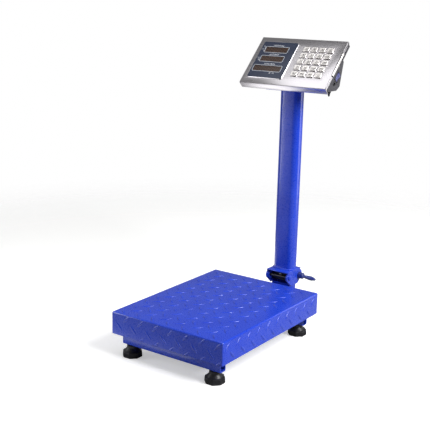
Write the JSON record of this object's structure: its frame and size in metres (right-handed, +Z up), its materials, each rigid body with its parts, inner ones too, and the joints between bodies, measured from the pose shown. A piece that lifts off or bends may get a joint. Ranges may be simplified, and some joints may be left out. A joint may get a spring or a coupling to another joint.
{
  "type": "platform shipping scale",
  "caption": "Bench platform scale: lift-off steel tray on a load-cell frame with levelling feet, and a folding mast with a tilted steel indicator head and keypad.",
  "frame": {"origin": "on the floor, at the middle of the bounding box's bottom face", "axes": "+Z up, the user stands at -Y facing +Y, +X to the user's right, mast at +Y"},
  "size_m": [0.3, 0.5566, 0.6894],
  "materials": {
    "blue_enamel": "glossy stoved enamel over steel",
    "zinc_plated_steel": "bright zinc plate",
    "stainless_steel": "satin stainless sheet",
    "machined_aluminium": "milled and clear anodised",
    "black_rubber": "moulded rubber",
    "black_nylon": "moulded nylon",
    "dark_grey_abs": "fine textured moulding",
    "slate_panel": "printed polycarbonate overlay",
    "smoked_filter": "smoked red-brown filter",
    "blue_grey_rocker": "moulded rocker",
    "circuit_board": "solder mask",
    "battery_wrap": "shrink sleeve"
  },
  "bodies": {
    "base": {"base_front_bar": "blue_enamel", "base_rear_bar": "blue_enamel", "base_left_rail": "blue_enamel", "base_right_rail": "blue_enamel", "mast_left_tail": "blue_enamel", "mast_right_tail": "blue_enamel", "load_cell_plate": "blue_enamel", "load_cell": "machined_aluminium", "load_frame_beam": "blue_enamel", "load_frame_front_arm": "blue_enamel", "load_frame_rear_arm": "blue_enamel", "rubber_pad_front_left": "black_rubber", "rubber_pad_front_right": "black_rubber", "rubber_pad_rear_left": "black_rubber", "rubber_pad_rear_right": "black_rubber", "mast_bracket": "blue_enamel", "pivot_pin": "zinc_plated_steel"},
    "tray": {"platform_cover": "blue_enamel"},
    "mast": {"mast_shoe": "blue_enamel", "mast_tube": "blue_enamel", "head_plate": "blue_enamel", "clamp_bolt": "zinc_plated_steel", "head_cover": "stainless_steel", "display_panel": "slate_panel", "display_weight": "smoked_filter", "display_unit_price": "smoked_filter", "display_total_price": "smoked_filter", "rear_housing": "dark_grey_abs", "circuit_board": "circuit_board", "battery": "battery_wrap", "power_socket": "black_nylon", "side_trim": "stainless_steel", "cable_gland": "black_nylon"},
    "clamp_lever": {"clamp_handle": "blue_enamel"},
    "switch_rocker": {"power_switch": "blue_grey_rocker"},
    "foot_front_left_knob": {"foot_front_left": "black_nylon"},
    "foot_front_right_knob": {"foot_front_right": "black_nylon"},
    "foot_rear_left_knob": {"foot_rear_left": "black_nylon"},
    "foot_rear_right_knob": {"foot_rear_right": "black_nylon"},
    "key_7_cap": {"key_7": "stainless_steel"},
    "key_8_cap": {"key_8": "stainless_steel"},
    "key_9_cap": {"key_9": "stainless_steel"},
    "key_clear_cap": {"key_clear": "stainless_steel"},
    "key_4_cap": {"key_4": "stainless_steel"},
    "key_5_cap": {"key_5": "stainless_steel"},
    "key_6_cap": {"key_6": "stainless_steel"},
    "key_add_cap": {"key_add": "stainless_steel"},
    "key_1_cap": {"key_1": "stainless_steel"},
    "key_2_cap": {"key_2": "stainless_steel"},
    "key_3_cap": {"key_3": "stainless_steel"},
    "key_tare_cap": {"key_tare": "stainless_steel"},
    "key_0_cap": {"key_0": "stainless_steel"},
    "key_point_cap": {"key_point": "stainless_steel"},
    "key_store_cap": {"key_store": "stainless_steel"},
    "key_zero_cap": {"key_zero": "stainless_steel"},
    "key_m1_cap": {"key_m1": "stainless_steel"},
    "key_m2_cap": {"key_m2": "stainless_steel"},
    "key_m3_cap": {"key_m3": "stainless_steel"},
    "key_light_cap": {"key_light": "stainless_steel"}
  },
  "joints": [
    {"name": "mast_fold", "type": "hinge", "parent": "base", "child": "mast", "pos_m": [0, 0.1888, 0.1], "axis": [1, 0, 0], "range_deg": [0, 90]},
    {"name": "clamp_turn", "type": "hinge", "parent": "mast", "child": "clamp_lever", "pos_m": [0.038, 0.2378, 0.096], "axis": [1, 0, 0], "range_deg": [0, 90]},
    {"name": "tray_lift", "type": "slide", "parent": "base", "child": "tray", "axis": [0, 0, -1], "range_m": [-0.06, 0]},
    {"name": "switch_rock", "type": "hinge", "parent": "mast", "child": "switch_rocker", "pos_m": [0.113, 0.22635, 0.60804], "axis": [0, -0.7071, 0.7071], "range_deg": [0, 14]},
    {"name": "foot_turn_front_left", "type": "hinge", "parent": "base", "child": "foot_front_left_knob", "pos_m": [-0.113, -0.2507, 0.02], "axis": [0, 0, 1], "range_deg": [-180, 180]},
    {"name": "foot_turn_front_right", "type": "hinge", "parent": "base", "child": "foot_front_right_knob", "pos_m": [0.113, -0.2507, 0.02], "axis": [0, 0, 1], "range_deg": [-180, 180]},
    {"name": "foot_turn_rear_left", "type": "hinge", "parent": "base", "child": "foot_rear_left_knob", "pos_m": [-0.113, 0.0943, 0.02], "axis": [0, 0, 1], "range_deg": [-180, 180]},
    {"name": "foot_turn_rear_right", "type": "hinge", "parent": "base", "child": "foot_rear_right_knob", "pos_m": [0.113, 0.0943, 0.02], "axis": [0, 0, 1], "range_deg": [-180, 180]},
    {"name": "press_7", "type": "slide", "parent": "mast", "child": "key_7_cap", "axis": [0, 0.7071, -0.7071], "range_m": [0, 0.0015], "stiffness_N_per_m": 400},
    {"name": "press_8", "type": "slide", "parent": "mast", "child": "key_8_cap", "axis": [0, 0.7071, -0.7071], "range_m": [0, 0.0015], "stiffness_N_per_m": 400},
    {"name": "press_9", "type": "slide", "parent": "mast", "child": "key_9_cap", "axis": [0, 0.7071, -0.7071], "range_m": [0, 0.0015], "stiffness_N_per_m": 400},
    {"name": "press_clear", "type": "slide", "parent": "mast", "child": "key_clear_cap", "axis": [0, 0.7071, -0.7071], "range_m": [0, 0.0015], "stiffness_N_per_m": 400},
    {"name": "press_4", "type": "slide", "parent": "mast", "child": "key_4_cap", "axis": [0, 0.7071, -0.7071], "range_m": [0, 0.0015], "stiffness_N_per_m": 400},
    {"name": "press_5", "type": "slide", "parent": "mast", "child": "key_5_cap", "axis": [0, 0.7071, -0.7071], "range_m": [0, 0.0015], "stiffness_N_per_m": 400},
    {"name": "press_6", "type": "slide", "parent": "mast", "child": "key_6_cap", "axis": [0, 0.7071, -0.7071], "range_m": [0, 0.0015], "stiffness_N_per_m": 400},
    {"name": "press_add", "type": "slide", "parent": "mast", "child": "key_add_cap", "axis": [0, 0.7071, -0.7071], "range_m": [0, 0.0015], "stiffness_N_per_m": 400},
    {"name": "press_1", "type": "slide", "parent": "mast", "child": "key_1_cap", "axis": [0, 0.7071, -0.7071], "range_m": [0, 0.0015], "stiffness_N_per_m": 400},
    {"name": "press_2", "type": "slide", "parent": "mast", "child": "key_2_cap", "axis": [0, 0.7071, -0.7071], "range_m": [0, 0.0015], "stiffness_N_per_m": 400},
    {"name": "press_3", "type": "slide", "parent": "mast", "child": "key_3_cap", "axis": [0, 0.7071, -0.7071], "range_m": [0, 0.0015], "stiffness_N_per_m": 400},
    {"name": "press_tare", "type": "slide", "parent": "mast", "child": "key_tare_cap", "axis": [0, 0.7071, -0.7071], "range_m": [0, 0.0015], "stiffness_N_per_m": 400},
    {"name": "press_0", "type": "slide", "parent": "mast", "child": "key_0_cap", "axis": [0, 0.7071, -0.7071], "range_m": [0, 0.0015], "stiffness_N_per_m": 400},
    {"name": "press_point", "type": "slide", "parent": "mast", "child": "key_point_cap", "axis": [0, 0.7071, -0.7071], "range_m": [0, 0.0015], "stiffness_N_per_m": 400},
    {"name": "press_store", "type": "slide", "parent": "mast", "child": "key_store_cap", "axis": [0, 0.7071, -0.7071], "range_m": [0, 0.0015], "stiffness_N_per_m": 400},
    {"name": "press_zero", "type": "slide", "parent": "mast", "child": "key_zero_cap", "axis": [0, 0.7071, -0.7071], "range_m": [0, 0.0015], "stiffness_N_per_m": 400},
    {"name": "press_m1", "type": "slide", "parent": "mast", "child": "key_m1_cap", "axis": [0, 0.7071, -0.7071], "range_m": [0, 0.0015], "stiffness_N_per_m": 400},
    {"name": "press_m2", "type": "slide", "parent": "mast", "child": "key_m2_cap", "axis": [0, 0.7071, -0.7071], "range_m": [0, 0.0015], "stiffness_N_per_m": 400},
    {"name": "press_m3", "type": "slide", "parent": "mast", "child": "key_m3_cap", "axis": [0, 0.7071, -0.7071], "range_m": [0, 0.0015], "stiffness_N_per_m": 400},
    {"name": "press_light", "type": "slide", "parent": "mast", "child": "key_light_cap", "axis": [0, 0.7071, -0.7071], "range_m": [0, 0.0015], "stiffness_N_per_m": 400}
  ]
}
